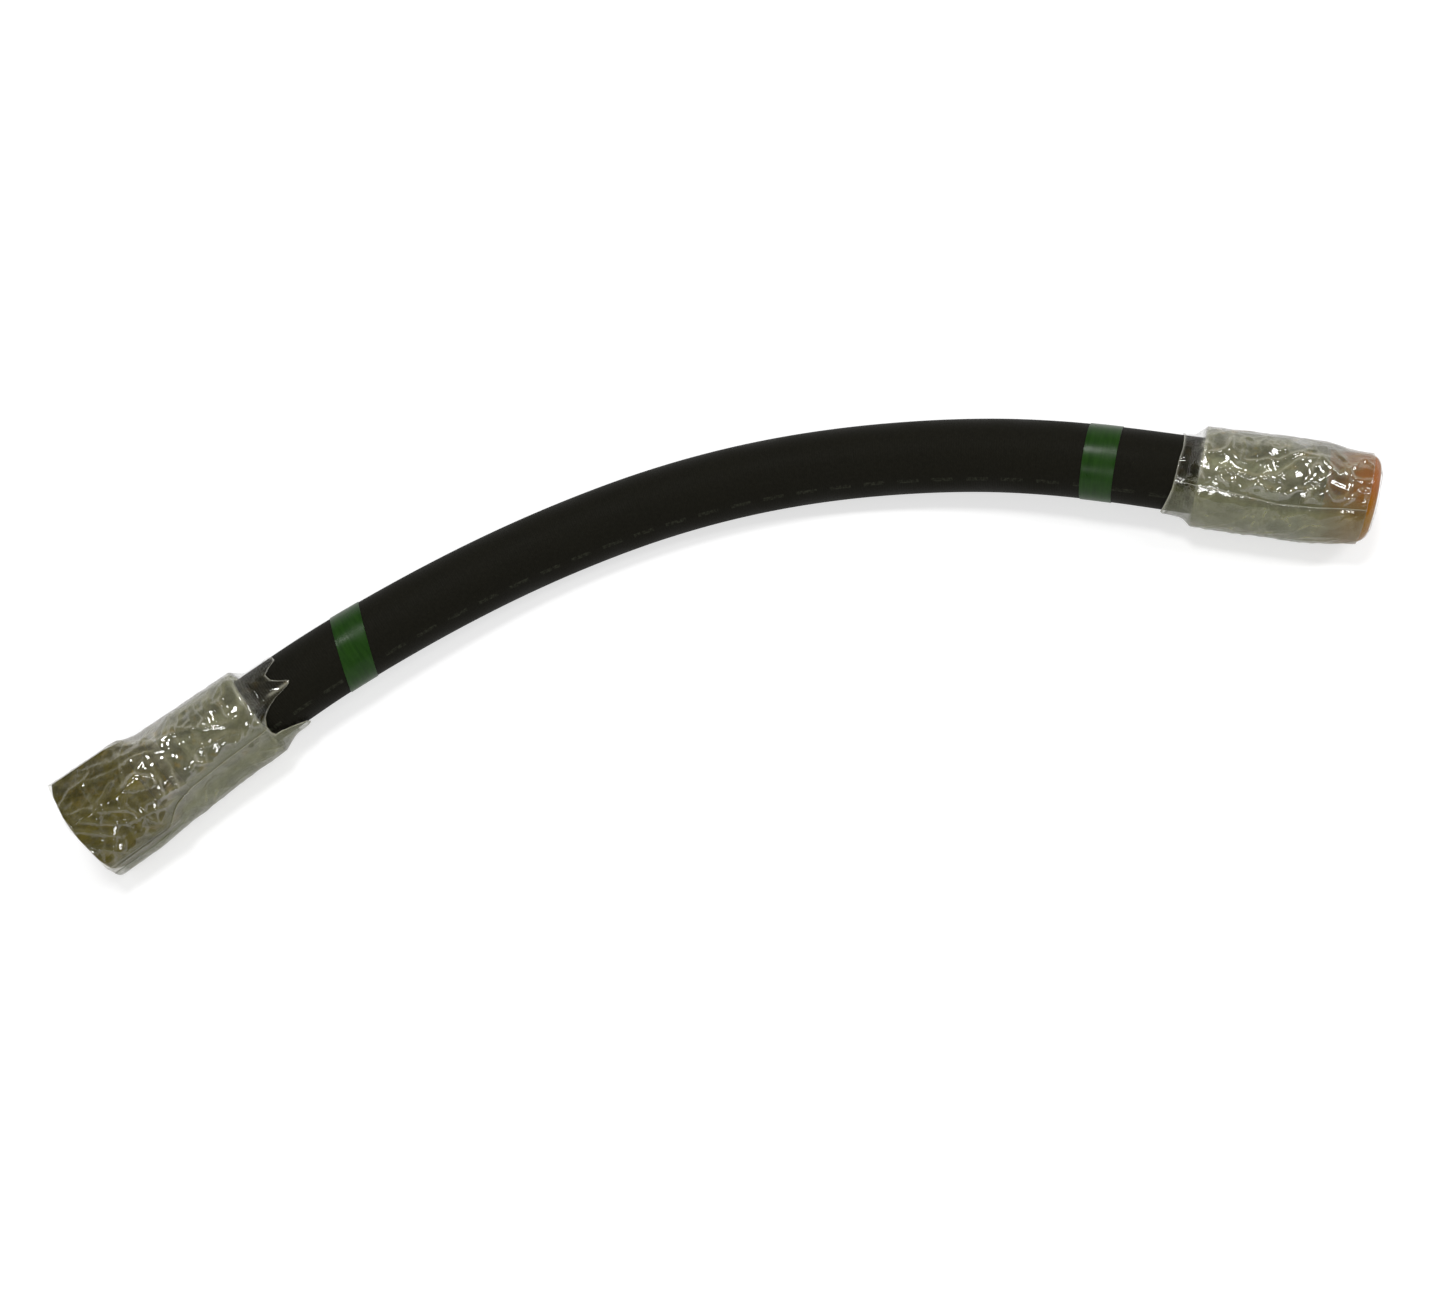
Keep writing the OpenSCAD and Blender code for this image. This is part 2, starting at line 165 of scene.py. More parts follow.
# Room. The floor glows by distance from the middle, in mm.
FLOOR_REACH = 3.0
FLOOR_DROP = 0.02 * MM
FLOOR_GLOW = 0.62
FLOOR_GLOW_FADE = (260, 520)
AMBIENT = 0.38
CEILING_SHADE = 0.26
FRONT_SHADE = 0.3


def unit(vector):
    return vector / vector.length


def link(obj):
    bpy.context.scene.collection.objects.link(obj)
    return obj


def make_camera():
    data = bpy.data.cameras.new("camera")
    data.sensor_fit = "HORIZONTAL"
    data.sensor_width = CAMERA_SENSOR
    data.lens = CAMERA_LENS
    camera = link(bpy.data.objects.new("camera", data))
    camera.location = CAMERA_PLACE
    camera.rotation_euler = [math.radians(angle) for angle in CAMERA_TURN]
    bpy.context.scene.camera = camera


make_camera()


# ---------------------------------------------------------------- meshes

def grid_faces(rows, columns, wrap_rows=False, wrap_columns=True):
    """Four-sided faces between the points of a grid that is stored row by row."""
    faces = []
    for row in range(rows if wrap_rows else rows - 1):
        below = row * columns
        above = (row + 1) % rows * columns
        for column in range(columns if wrap_columns else columns - 1):
            after = (column + 1) % columns
            faces.append((below + column, below + after, above + after, above + column))
    return faces


def mesh_object(name, points, faces, sharp=None, closed=True):
    """A mesh piece; edges that bend by more than sharp degrees stay sharp."""
    mesh = bpy.data.meshes.new(name)
    mesh.from_pydata([tuple(point) for point in points], [], faces)
    if closed:
        edit = bmesh.new()
        edit.from_mesh(mesh)
        bmesh.ops.recalc_face_normals(edit, faces=edit.faces)
        edit.to_mesh(mesh)
        edit.free()
    mesh.shade_smooth()
    if sharp is not None:
        mesh.set_sharp_from_angle(angle=math.radians(sharp))
    return link(bpy.data.objects.new(name, mesh))


def point_values(obj, name, values):
    """Stores one number, or one vector, for each point of a mesh."""
    values = np.asarray(values, np.float32)
    kind = "FLOAT" if values.ndim == 1 else "FLOAT_VECTOR"
    attribute = obj.data.attributes.new(name, kind, "POINT")
    attribute.data.foreach_set("value" if kind == "FLOAT" else "vector", values.ravel())


def fade(value, start, end):
    """0 before start, 1 past end and a smooth rise between them; end may be the lower one."""
    share = np.clip((value - start) / (end - start), 0, 1)
    return share * share * (3 - 2 * share)


def facets(x, y, seed):
    """A noise from 0 to 1 that is made of flat triangles, one cell to a unit of x and y."""
    size = 64
    table = np.random.RandomState(seed).rand(size, size)
    column, row = np.floor(x).astype(int), np.floor(y).astype(int)
    across, along = x - column, y - row
    near, far = table[column % size, row % size], table[(column + 1) % size, (row + 1) % size]
    side, over = table[(column + 1) % size, row % size], table[column % size, (row + 1) % size]
    lower = near + across * (side - near) + along * (over - near)
    upper = far + (1 - across) * (over - far) + (1 - along) * (side - far)
    return np.where(across + along < 1, lower, upper)


def color(red, green, blue):
    """A colour as the eye reads it, 0 to 255, in the linear values that a shader takes."""
    linear = [((c / 255 + 0.055) / 1.055) ** 2.4 if c > 10 else c / 255 / 12.92
              for c in (red, green, blue)]
    return (*linear, 1.0)


# ---------------------------------------------------------------- hose

class Path:
    """A smooth line through points, with the way that it runs at each of its own points."""

    def __init__(self, points, steps):
        ends = [2 * points[0] - points[1], *points, 2 * points[-1] - points[-2]]
        line = []
        for before, start, end, after in zip(ends, ends[1:], ends[2:], ends[3:]):
            for step in range(steps):
                line.append(self.between(before, start, end, after, step / steps))
        line.append(points[-1])
        self.points = np.array([tuple(point) for point in line])
        ways = np.gradient(self.points, axis=0)
        self.ways = ways / np.linalg.norm(ways, axis=1)[:, None]
        strides = np.linalg.norm(np.diff(self.points, axis=0), axis=1)
        self.marks = np.concatenate([[0], np.cumsum(strides)])
        self.length = self.marks[-1]

    @staticmethod
    def between(before, start, end, after, share):
        """Catmull-Rom point at a share of the way from start to end."""
        bend = 2 * before - 5 * start + 4 * end - after
        twist = 3 * start - before - 3 * end + after
        return start + 0.5 * share * (end - before + share * (bend + share * twist))

    def around(self, marks, turns, radii):
        """Points at distances along the line, at turns round it, at radii from it."""
        marks, turns, radii = np.broadcast_arrays(marks, turns, radii)
        centre = np.stack([np.interp(marks, self.marks, c) for c in self.points.T], -1)
        way = np.stack([np.interp(marks, self.marks, c) for c in self.ways.T], -1)
        way /= np.linalg.norm(way, axis=-1, keepdims=True)
        side = np.cross(way, UP)
        side /= np.linalg.norm(side, axis=-1, keepdims=True)
        top = np.cross(side, way)
        return centre + radii[..., None] * (
            np.cos(turns)[..., None] * top + np.sin(turns)[..., None] * side)


route = Path(ROUTE, ROUTE_STEPS)


def hose_layer(name, outer_r, inner_r):
    """One hollow layer of the hose along the whole route."""
    turns = np.linspace(0, 2 * np.pi, HOSE_SIDES, endpoint=False)
    marks = np.concatenate([route.marks, route.marks[::-1]])
    radii = np.repeat([outer_r, inner_r], len(route.marks))
    points = route.around(marks[:, None], turns[None, :], radii[:, None])
    faces = grid_faces(len(marks), HOSE_SIDES, wrap_rows=True)
    layer = mesh_object(name, points.reshape(-1, 3), faces, sharp=50)
    along = np.repeat(marks, HOSE_SIDES) / MM
    turn = np.tile(turns, len(marks))
    skin = [along, outer_r / MM * np.cos(turn), outer_r / MM * np.sin(turn)]
    from_layline = np.abs((turn - math.radians(LAYLINE_TURN) + np.pi) % (2 * np.pi) - np.pi)
    point_values(layer, "skin", np.stack(skin, 1))
    point_values(layer, "layline", from_layline * outer_r / MM)
    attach(layer, "root")
    return layer


def tape_band(name, middle, slant):
    """A band wound once round the hose, its end lapped over its start on the underside."""
    turns = np.radians(np.linspace(180, 540 + TAPE_LAP, TAPE_ROWS))
    wound = np.linspace(0, 1, len(turns))
    lift = TAPE_THICK * fade(wound, 0.93, 1.0)
    lean = HOSE_R * math.tan(math.radians(slant)) * np.sin(math.radians(SLANT_LEAN) - turns)
    half = TAPE_WIDTH / 2 / math.cos(math.radians(slant))
    across = np.array([-1, -0.985, -0.5, 0, 0.5, 0.985, 1, 1, 0.5, 0, -0.5, -1])
    rise = np.array([0.55, 1, 1, 1, 1, 1, 0.55, 0.05, 0.05, 0.05, 0.05, 0.05]) * TAPE_THICK
    rows, columns = len(turns), len(across)
    marks = middle + lean[:, None] + half * across[None, :]
    radii = HOSE_R + lift[:, None] + rise[None, :]
    points = route.around(marks, turns[:, None], radii).reshape(-1, 3)
    faces = grid_faces(rows, columns)
    faces += [tuple(range(columns)), tuple(range((rows - 1) * columns, rows * columns))]
    band = mesh_object(name, points, faces, sharp=35)
    skin = np.stack([marks / MM, np.repeat(turns, columns).reshape(rows, columns) * HOSE_R / MM,
                     np.tile(across, (rows, 1))], -1)
    point_values(band, "skin", skin.reshape(-1, 3))
    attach(band, "root")
    return band


hose = hose_layer("hose", HOSE_R, BRAID_R)
braid = hose_layer("braid", BRAID_R, TUBE_R)
tube = hose_layer("tube", TUBE_R, BORE_R)
left_tape = tape_band("left_tape", HOSE_GRIP + LEFT_TAPE_FROM_FERRULE, TAPE_SLANT)
right_tape = tape_band("right_tape", route.length - HOSE_GRIP - RIGHT_TAPE_FROM_FERRULE, 0)
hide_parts("hose_cover")
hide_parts("wire_braid")
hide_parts("inner_tube")
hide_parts("left_tape_band")
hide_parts("right_tape_band")


# ---------------------------------------------------------------- fittings

class Fitting:
    """The axis of one end, from its ferrule's mouth outwards."""

    def __init__(self, end, before):
        self.way = unit(end - before)
        self.mouth = end - HOSE_GRIP * self.way
        side = self.way.cross(UP)
        self.side = side if side.y < 0 else -side
        self.left_handed = side.y > 0

    def points(self, stations, turns, radii):
        stations, turns, radii = np.broadcast_arrays(stations, turns, radii)
        return (np.array(self.mouth) + stations[..., None] * np.array(self.way)
                + (radii * np.cos(turns))[..., None] * np.array(UP)
                + (radii * np.sin(turns))[..., None] * np.array(self.side))


swivel_end = Fitting(ROUTE[0], ROUTE[2])
stud_end = Fitting(ROUTE[-1], ROUTE[-3])


def hexagon(turns, across_flats):
    """Radius of a hexagon with a flat on top."""
    sixth = math.pi / 3
    return across_flats / 2 / np.cos((turns + sixth / 2) % sixth - sixth / 2)


def nut_mesh():
    """The swivel nut, with its groove for the wire and a helical thread."""
    turns = np.linspace(0, 2 * np.pi, NUT_COLUMNS, endpoint=False)
    flats = hexagon(turns, NUT_AF)
    corner_r = flats.max()
    cut_r = np.minimum(flats, corner_r - NUT_CORNER_CUT)
    past_cut = (flats - cut_r) / NUT_CORNER_CUT
    back_edge = NUT_HEX_AT + NUT_TAPER_LEN * past_cut
    front_edge = NUT_END - NUT_FRONT_CUT_LEN * past_cut
    thread_end = NUT_END - NUT_MOUTH_CUT
    thread_at = thread_end - THREAD_LEN
    rows = [
        (NUT_BACK, NUT_BORE_R),
        (NUT_BACK, NUT_COLLAR_R - NUT_EDGE_CUT),
        (NUT_BACK + NUT_EDGE_CUT, NUT_COLLAR_R),
        (NUT_HEX_AT - NUT_EDGE_CUT, NUT_COLLAR_R),
        (NUT_HEX_AT, NUT_COLLAR_R + NUT_EDGE_CUT),
        (NUT_HEX_AT, cut_r),
        (back_edge, flats),
        (front_edge, flats),
        (NUT_END, cut_r),
        (NUT_END, THREAD_R + NUT_MOUTH_CUT),
        (thread_end, THREAD_R),
    ]
    for station in np.linspace(thread_end, thread_at, THREAD_ROWS)[1:-1]:
        phase = (station / THREAD_PITCH + turns / (2 * np.pi)) % 1
        groove = 1 - np.clip(np.abs(phase - 0.5) / 0.42, 0, 1)
        depth = THREAD_DEPTH * np.clip(groove * 1.25, 0, 1)
        depth = depth * fade(station, thread_at, thread_at + THREAD_RUNOUT)
        rows.append((station, THREAD_R + depth))
    rows += [
        (thread_at, THREAD_R),
        (thread_at, RELIEF_R),
        (thread_at - RELIEF_LEN, RELIEF_R),
        (thread_at - RELIEF_LEN, NUT_BORE_R),
    ]
    for angle in np.radians(np.linspace(3, 177, 9)):
        rows.append((WIRE_AT + WIRE_GROOVE_R * math.cos(angle),
                     WIRE_MID_R + WIRE_GROOVE_R * math.sin(angle)))
    stations = np.array([np.broadcast_to(station, turns.shape) for station, _ in rows])
    radii = np.array([np.broadcast_to(radius, turns.shape) for _, radius in rows])
    points = swivel_end.points(stations, turns[None, :], radii).reshape(-1, 3)
    return mesh_object("nut", points, grid_faces(len(rows), NUT_COLUMNS, wrap_rows=True), sharp=16)


nut = nut_mesh()
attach(nut, "swivel_nut")
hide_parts("swivel_nut")


# ---------------------------------------------------------------- films

def crumple(stations, arcs, seed):
    """Height in metres of the film's creases, up to about 1.5 mm and made of flat facets."""
    x, y = stations / MM, arcs / MM
    bend_x = 2.4 * facets(x / 9, y / 9, seed) + 0.8 * facets(x / 3, y / 3, seed + 1)
    bend_y = 2.4 * facets(x / 9, y / 9, seed + 2) + 0.8 * facets(x / 3, y / 3, seed + 3)
    x, y = x + bend_x, y + bend_y
    large = facets(x / 6, y / 4.2, seed + 4)
    middle = facets((x + y) / 3.6, (y - x) / 2.4, seed + 5)
    small = facets(x / 1.4, y / 1.2, seed + 6)
    pleats = pleat(x / 5, y / 3.6, seed + 7) + 0.7 * pleat((x - y) / 4.5, (x + y) / 6, seed + 8)
    return (0.6 * large ** 1.4 + 0.45 * middle + 0.13 * small + 0.5 * pleats) * MM


def pleat(x, y, seed):
    """1 on the crests of narrow folds that run in straight stretches, and 0 between them."""
    return np.exp(-((facets(x, y, seed) - 0.5) / 0.07) ** 2)


def folds(height):
    """How sharply a grid of heights is creased, from 0 to 1."""
    flat = np.pad(height, 1, mode="edge")
    around = flat[:-2, 1:-1] + flat[2:, 1:-1] + flat[1:-1, :-2] + flat[1:-1, 2:]
    return np.clip(np.abs(around - 4 * height) / (0.16 * MM) - 0.15, 0, 1)


def facet_lean_shade(height):
    """How far each facet of a grid of heights leans, from 0 to 1, about 0.5 where it is level; the
    film uses it as painted shade.
    """
    along, across = np.gradient(height)
    return np.clip(0.5 + (0.9 * along + 1.2 * across) / FILM_GRID, 0, 1)


def bulge(angle, middle, width):
    """1 at a turn of middle degrees, falling to 0 on both sides of it."""
    return np.exp(-((np.degrees(angle) % 360 - middle) / width) ** 4)


def blend(first, second, share):
    return first + (second - first) * share


def by_station(stations, table):
    """What a table of stations in mm and values says at each station."""
    return np.interp(stations / MM, *zip(*table))


def film_piece(name, points, faces):
    """A film between the points of a grid, which gets its thickness outwards from them."""
    film = mesh_object(name, points.reshape(-1, 3), faces, closed=False)
    shell = film.modifiers.new("thickness", "SOLIDIFY")
    shell.thickness = FILM_THICK
    shell.offset = 1
    return film


class Wrap:
    """Film wound a turn and a quarter round one end, its free edge on the camera's side.

    Each end has its own subclass, which gives its name, fitting and seed, and:
    end -- station of its end
    close, hanging -- radius by station where it clings and where it hangs, in mm
    sag -- middle and width of the part that hangs, as turns
    hose_edge -- how far it reaches over the hose by turn, in mm
    free_edge -- turn of its outer edge by station
    single_veil, double_veil -- share that it veils of what is under it, by station
    tints -- colours that it takes from what it covers, single and double, by station
    haze_from -- how far past its free edge, as a turn, the doubled film is fully dull
    fold_turn -- turn of a painted glint line along a fold over the hose
    calm -- how much flatter its creases are on the last stretch
    """

    def close_radius(self, stations, angle):
        return by_station(stations, self.close) * MM

    def radius(self, stations, angle):
        """Distance from the axis of the smooth film, before its creases."""
        close = self.close_radius(stations, angle)
        hanging = by_station(stations, self.hanging) * MM
        return close + np.maximum(hanging - close, 0) * bulge(angle, *self.sag)

    def turns(self, stations, wound):
        """Turn of a place on the film; its free edge wanders and straightens out."""
        wander = by_station(stations, self.free_edge) - FREE_EDGE_TURN
        return FREE_EDGE_TURN + wander * (1 - fade(wound, 0, STRAIGHT_AFTER)) + wound

    def creasing(self, stations, angle, wound, doubled, bare):
        """Share of the full creases that each place has."""
        stiff = 0.72 * doubled
        taut = 0.8 * bulge(angle, *TAUT_SIDE)
        clinging = 0.7 * (1 - fade(stations, *OFF_HOSE_FADE))
        calmed = self.calm * fade(stations, *LAST_STRETCH_FADE)
        loose = (1 - stiff) * (1 - taut) * (1 - clinging) * (1 - calmed)
        return loose * bare * fade(wound, -6, 14)

    def painted_glint_lines(self, stations, start, turns, wound, single):
        """Painted glint lines: 1 on the film's edges, on its fold over the hose and along the
        ferrule's mouth.
        """
        painted_glint = np.clip(1 - (stations - start) / RIM_WIDTH, 0, 1)
        free_edge = 1 - fade(wound, 0, FREE_EDGE_WIDTH)
        from_fold = (turns - self.fold_turn + 180) % 360 - 180
        fold = np.exp(-(from_fold / FOLD_WIDTH) ** 2) * (1 - fade(stations, *PAST_FOLD_FADE))
        mouth_line = np.exp(-((stations - MOUTH_LINE_AT) / MOUTH_LINE_WIDTH) ** 2) * single
        arcs = np.radians(turns) * FILM_MEAN_R
        broken = fade(facets(arcs / MOUTH_LINE_BREAK, 0 * arcs, self.seed + 9), 0.15, 0.55)
        lines = [painted_glint, free_edge, fold, mouth_line * (0.3 + 0.7 * broken)]
        return np.max(np.broadcast_arrays(*lines), axis=0)

    def veil(self, stations, hazed):
        return blend(by_station(stations, self.single_veil),
                     by_station(stations, self.double_veil), hazed)

    def tint(self, stations, hazed):
        marks, *colors = zip(*self.tints)
        single, double = (
            np.stack([by_station(stations, zip(marks, part)) for part in zip(*table)], -1)
            for table in colors)
        return blend(single, double, hazed[..., None])

    def film(self):
        """The film, and how long and wide it is when flat."""
        length = math.radians(FILM_TURNS) * FILM_MEAN_R
        columns = int(length / FILM_GRID)
        wound = np.linspace(0, FILM_TURNS, columns)[None, :]
        reach = np.interp(self.turns(0, wound), *zip(*self.hose_edge), period=360) * MM
        start = -reach
        rows = int((self.end - start.min()) / FILM_GRID)
        stations = blend(start, self.end, np.linspace(0, 1, rows)[:, None])
        turns = self.turns(stations, wound)
        angle = np.radians(turns)
        doubled = 1 - fade(wound, *OUTER_LAYER_FADE)
        past_edge = turns - 360 - by_station(stations, self.free_edge)
        bare = 1 - fade(past_edge, *LAP_FADE)
        creased = self.creasing(stations, angle, wound, doubled, bare)
        crinkles = crumple(stations, angle * FILM_MEAN_R, self.seed)
        height = crinkles * creased
        lip = LIP_LIFT * (1 - fade(wound, 0, LIP_WIDTH))
        radii = self.radius(stations, angle) + height + OUTER_LAYER_LIFT * doubled + lip
        points = self.fitting.points(stations, angle, radii)
        points[..., 2] = np.maximum(points[..., 2], FLOOR_GAP + FILM_THICK)
        faces = grid_faces(rows, columns, wrap_columns=False)
        if not self.fitting.left_handed:
            faces = [face[::-1] for face in faces]
        film = film_piece(self.name, points, faces)

        edging = 0.6 * fade(past_edge, *LAP_HAZE_FADE) * (1 - fade(past_edge, *PAST_LAP_FADE))
        dull = doubled * (0.35 + 0.65 * fade(wound, 0, self.haze_from))
        hazed = np.maximum(dull, edging)
        single = (1 - doubled) * bare
        looks = {
            "veil": self.veil(stations, hazed),
            "haze": hazed,
            # Painted facet shade, by how each facet leans.
            "painted_facet_shade": 0.5 + (facet_lean_shade(crinkles) - 0.5) * creased,
            # Crease whitening, partly real and partly a painted glint.
            "crease_white_and_glint": folds(height) * bare,
            # Painted glint lines on the edges, the fold and the ferrule's mouth.
            "painted_glint": self.painted_glint_lines(stations, start, turns, wound, single),
        }
        for look, values in looks.items():
            point_values(film, look, values.ravel())
        point_values(film, "tint", self.tint(stations, hazed).reshape(-1, 3))
        return film, (length, self.end - start.mean())


HOSE_TINT = color(54, 54, 42)[:3]
FERRULE_TINT = color(112, 112, 84)[:3]
PALE_FERRULE_TINT = color(122, 122, 98)[:3]
SHADED_TINT = color(96, 90, 56)[:3]
NUT_TINT = color(94, 84, 12)[:3]
CAP_TINT = color(150, 104, 26)[:3]
LAP_TINT = color(132, 133, 92)[:3]
PALE_LAP_TINT = color(144, 144, 108)[:3]
BEIGE_TINT = color(150, 138, 90)[:3]
GOLD_TINT = color(156, 116, 36)[:3]


class LeftWrap(Wrap):
    """The swivel end's film, on the nut's flats and loose under them on the camera's side."""

    name = "left_wrap"
    fitting = swivel_end
    seed = 11
    end = 53.9 * MM
    close = [(-12, 10.6), (-3, 10.7), (0, 13.15), (29, 13.2), (33, 13.6), (54.6, 13.6)]
    hanging = [
        (-12, 10.8), (-5, 11.1), (0, 13.2), (14, 13.4), (30, 14.4), (42, 15.6), (54.6, 15.7),
    ]
    sag = (121, 31)
    hose_edge = [
        (0, 8.2), (12, 8.6), (20, 10.4), (27, 12.4), (32, 12.2), (38, 7), (44, 4.2), (52, 2),
        (62, 0.8), (72, 0.8), (80, 1.3), (88, 3.6), (95, 7), (103, 9.6), (113, 10.2), (124, 9),
        (140, 6), (180, 5), (270, 6), (300, 9.4), (330, 12), (344, 12.4), (352, 10),
    ]
    free_edge = [(-10, 62), (0, 64), (12, 66), (24, 70), (30, 78), (36, 92), (42, 94), (55, 96)]
    single_veil = [
        (-10, 0.03), (-1, 0.05), (2, 0.26), (20, 0.26), (26, 0.36), (31, 0.34), (36, 0.12),
        (55, 0.09),
    ]
    double_veil = [(-10, 0.3), (-1, 0.35), (2, 0.42), (30, 0.42), (40, 0.4), (55, 0.36)]
    tints = [
        (-1.5, HOSE_TINT, LAP_TINT),
        (0, FERRULE_TINT, LAP_TINT),
        (22, FERRULE_TINT, LAP_TINT),
        (27, SHADED_TINT, LAP_TINT),
        (33, NUT_TINT, LAP_TINT),
    ]
    haze_from = 22
    fold_turn = 30
    calm = 0.3

    def close_radius(self, stations, angle):
        flats = np.minimum(hexagon(angle, FILM_ON_NUT_AF), FILM_ON_NUT_CORNER_R)
        return blend(super().close_radius(stations, angle), flats, fade(stations, *ON_NUT_FADE))


class RightWrap(Wrap):
    """The stud end's film, close round hose, ferrule and cap and a little slack under them."""

    name = "right_wrap"
    fitting = stud_end
    seed = 47
    end = 41.0 * MM
    close = [
        (-12, 10.5), (-3, 10.7), (0, 13.2), (22, 13.2), (30, 12.95), (35, 11.9), (41, 11.6),
        (43.4, 11.6),
    ]
    hanging = [(-12, 10.7), (-3, 11.3), (4, 13.3), (30, 13), (38, 12), (41, 11.6)]
    sag = (118, 30)
    hose_edge = [
        (0, 5.2), (20, 5.6), (45, 5.8), (60, 6), (75, 6.6), (90, 7.2), (110, 8), (130, 7.2),
        (180, 6), (300, 6), (340, 5.4),
    ]
    free_edge = [(-10, 50), (0, 48), (8, 50), (20, 56), (30, 54), (44, 50)]
    single_veil = [
        (-10, 0.03), (-1, 0.05), (1, 0.28), (22, 0.28), (28, 0.4), (34, 0.4), (37, 0.26),
        (41, 0.16),
    ]
    double_veil = [
        (-10, 0.15), (-1, 0.2), (1, 0.45), (24, 0.45), (34, 0.45), (38, 0.44), (41, 0.34),
    ]
    tints = [
        (-1.5, HOSE_TINT, LAP_TINT),
        (0, PALE_FERRULE_TINT, PALE_LAP_TINT),
        (26, PALE_FERRULE_TINT, PALE_LAP_TINT),
        (33, SHADED_TINT, BEIGE_TINT),
        (38, CAP_TINT, GOLD_TINT),
    ]
    haze_from = 10
    fold_turn = 14
    calm = 0


def cap_end_film():
    """The film over the cap's rounded edge, which comes away with the cap, and its flat size."""
    profile = np.array(CAP_FILM_PROFILE)
    marks = np.concatenate([[0], np.cumsum(np.hypot(*np.diff(profile, axis=0).T))])
    angle = np.linspace(0, 2 * np.pi, CAP_FILM_COLUMNS, endpoint=False)[None, :]
    end = marks[-1] * (0.86 + 0.14 * facets(4 + 3 * np.cos(angle), 4 + 3 * np.sin(angle), 5))
    along = blend(0, end, np.linspace(0, 1, CAP_FILM_ROWS)[:, None])
    stations, radii = (np.interp(along, marks, values) * MM for values in profile.T)
    lift = 0.25 * facets(along / 1.6, angle * 7 / np.pi * 2, 8) * fade(along, 4.6, 5.8) * MM
    points = stud_end.points(stations + lift, angle, radii)
    film = film_piece("cap_wrap", points, grid_faces(CAP_FILM_ROWS, CAP_FILM_COLUMNS))
    looks = {
        "veil": 0.06 * fade(along, 3.5, 5.0),
        "haze": 0 * along,
        # Painted facet shade, the same all round here.
        "painted_facet_shade": 0.4 + 0 * along,
        "crease_white_and_glint": 0 * along,
        # Painted glint along the film's edge over the cap.
        "painted_glint": fade(along, end - 0.6, end),
    }
    for look, values in looks.items():
        point_values(film, look, values.ravel())
    point_values(film, "tint", np.tile(CAP_TINT, (along.size, 1)))
    return film, (2 * math.pi * CAP_FILM_MEAN_R, marks[-1] * MM)


left_film, left_flat = LeftWrap().film()
right_film, right_flat = RightWrap().film()
cap_film, cap_flat = cap_end_film()
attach(left_film, "swivel_nut")
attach(right_film, "root")
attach(cap_film, "thread_cap")
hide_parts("left_film")
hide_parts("right_film")


# ---------------------------------------------------------------- finishes

class Nodes:
    """Short ways to write a node tree. Patterns are sized in mm and follow the piece."""

    def __init__(self, tree):
        self.tree = tree

    def join(self, socket, value):
        if isinstance(value, bpy.types.NodeSocket):
            self.tree.links.new(value, socket)
        else:
            socket.default_value = value

    def add(self, kind, inputs, output=0, **settings):
        made = self.tree.nodes.new("ShaderNode" + kind)
        for setting, value in settings.items():
            setattr(made, setting, value)
        for socket, value in inputs.items():
            self.join(made.inputs[socket], value)
        return made.outputs[output]

    def stored(self, name):
        """A number that each point of the mesh has stored."""
        return self.add("Attribute", {}, "Fac", attribute_name=name)

    def place(self, attribute=None):
        """Place on the piece in mm, or a stored vector."""
        if attribute:
            return self.add("Attribute", {}, "Vector", attribute_name=attribute)
        where = self.add("TexCoord", {}, "Object")
        return self.add("VectorMath", {0: where, "Scale": 1 / MM}, operation="SCALE")

    def stretched(self, where, stretch):
        return self.add("VectorMath", {0: where, 1: stretch}, operation="MULTIPLY")

    def noise(self, where, size, detail=2.0, rough=0.5, distort=0.0):
        inputs = {"Vector": where, "Scale": 1 / size, "Detail": detail, "Roughness": rough,
                  "Distortion": distort}
        return self.add("TexNoise", inputs)

    def level(self, value, start, end, low=0.0, high=1.0):
        inputs = {"Value": value, "From Min": start, "From Max": end, "To Min": low,
                  "To Max": high}
        return self.add("MapRange", inputs)

    def math(self, operation, *values):
        return self.add("Math", dict(enumerate(values)), operation=operation)

    def mix(self, share, first, second):
        made = self.tree.nodes.new("ShaderNodeMix")
        made.data_type = "RGBA"
        for index, value in [(0, share), (6, first), (7, second)]:
            self.join(made.inputs[index], value)
        return made.outputs[2]

    def parts(self, vector):
        made = self.tree.nodes.new("ShaderNodeSeparateXYZ")
        self.join(made.inputs[0], vector)
        return made.outputs

    def seen_share(self):
        """1 for what the camera, a mirror or a clear piece sees, and 0 for the light itself."""
        rays = self.tree.nodes.new("ShaderNodeLightPath").outputs
        share = rays["Is Camera Ray"]
        for name in ("Is Glossy Ray", "Is Transmission Ray"):
            share = self.math("MAXIMUM", share, rays[name])
        return share


class Finish(Nodes):
    """A material with one shader, its constants given by name."""

    def __init__(self, name, **constants):
        self.material = bpy.data.materials.new(name)
        self.material.use_nodes = True
        super().__init__(self.material.node_tree)
        self.shader = self.tree.nodes["Principled BSDF"]
        for socket, value in constants.items():
            self.put(socket.replace("_", " "), value)

    def put(self, socket, value):
        self.join(self.shader.inputs[socket], value)

    def bump(self, height, depth, strength=1.0):
        """Bump from a height of 0 to 1 that stands for depth mm."""
        inputs = {"Height": height, "Distance": depth * MM, "Strength": strength}
        self.put("Normal", self.add("Bump", inputs))

    def dress(self, *objects):
        for obj in objects:
            obj.data.materials.clear()
            obj.data.materials.append(self.material)


